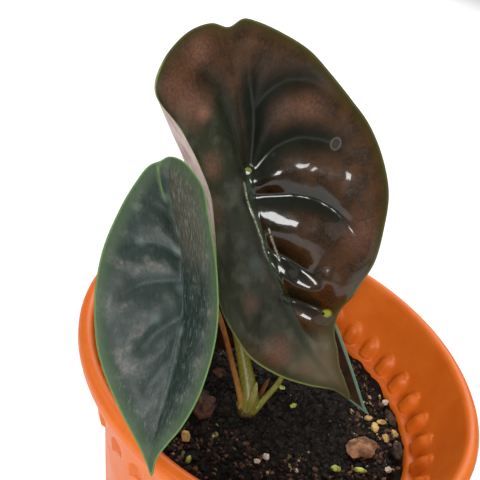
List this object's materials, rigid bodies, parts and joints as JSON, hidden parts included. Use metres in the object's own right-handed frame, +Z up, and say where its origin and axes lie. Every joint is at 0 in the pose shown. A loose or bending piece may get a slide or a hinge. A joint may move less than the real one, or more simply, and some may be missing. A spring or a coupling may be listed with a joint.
{
  "type": "potted alocasia",
  "caption": "Round moulded plastic pot with a fluted band below its rim, filled with soil, holding a young aroid with heart-shaped glossy blades on thin stalks.",
  "frame": {"origin": "middle of the pot's base, on the plane the pot stands on", "axes": "+Z up out of the pot; the front of the plant looks toward -Y, and +X is to its right in the picture"},
  "size_m": [0.15, 0.1533, 0.2126],
  "materials": {
    "pot": "satin moulded plastic",
    "soil": "dark damp potting mix of bark, fibre and peat",
    "crown": "rough green-brown stem base",
    "blade_big": "glossy copper-brown blade with near-black veins",
    "blade_small": "half-matt dark green blade",
    "blade_back": "matt maroon underside",
    "stalk": "smooth green stalk",
    "stalk_tan": "smooth tan stalk",
    "sheath": "pale leaf sheath",
    "sheath_dry": "dry brown sheath",
    "clay": "rough baked clay",
    "bark": "rough light bark",
    "bark_dark": "rough dark bark",
    "grain": "matt husk",
    "perlite": "porous white mineral",
    "green": "soft green plant bit"
  },
  "bodies": {
    "root": {"pot": "pot", "soil": "soil", "crown": "crown", "stalk_big": "stalk", "stalk_small": "stalk_tan", "stalk_back": "stalk", "leaf_big": "blade_big", "leaf_small": "blade_small", "leaf_back": "blade_back", "sheath_new": "sheath", "sheath_dry": "sheath_dry", "clay_ball": "clay", "clay_crumb": "clay", "bark_chip_light": "bark", "bark_chip_dark_a": "bark_dark", "bark_chip_dark_b": "bark_dark", "seed_case": "grain", "grain_a": "grain", "grain_b": "grain", "grain_c": "grain", "grain_d": "grain", "grain_e": "grain", "perlite_a": "perlite", "perlite_b": "perlite", "perlite_c": "perlite", "perlite_d": "perlite", "green_bit_a": "green", "green_bit_b": "green", "green_bit_c": "green", "green_bit_d": "green", "green_bit_e": "green"}
  },
  "joints": []
}
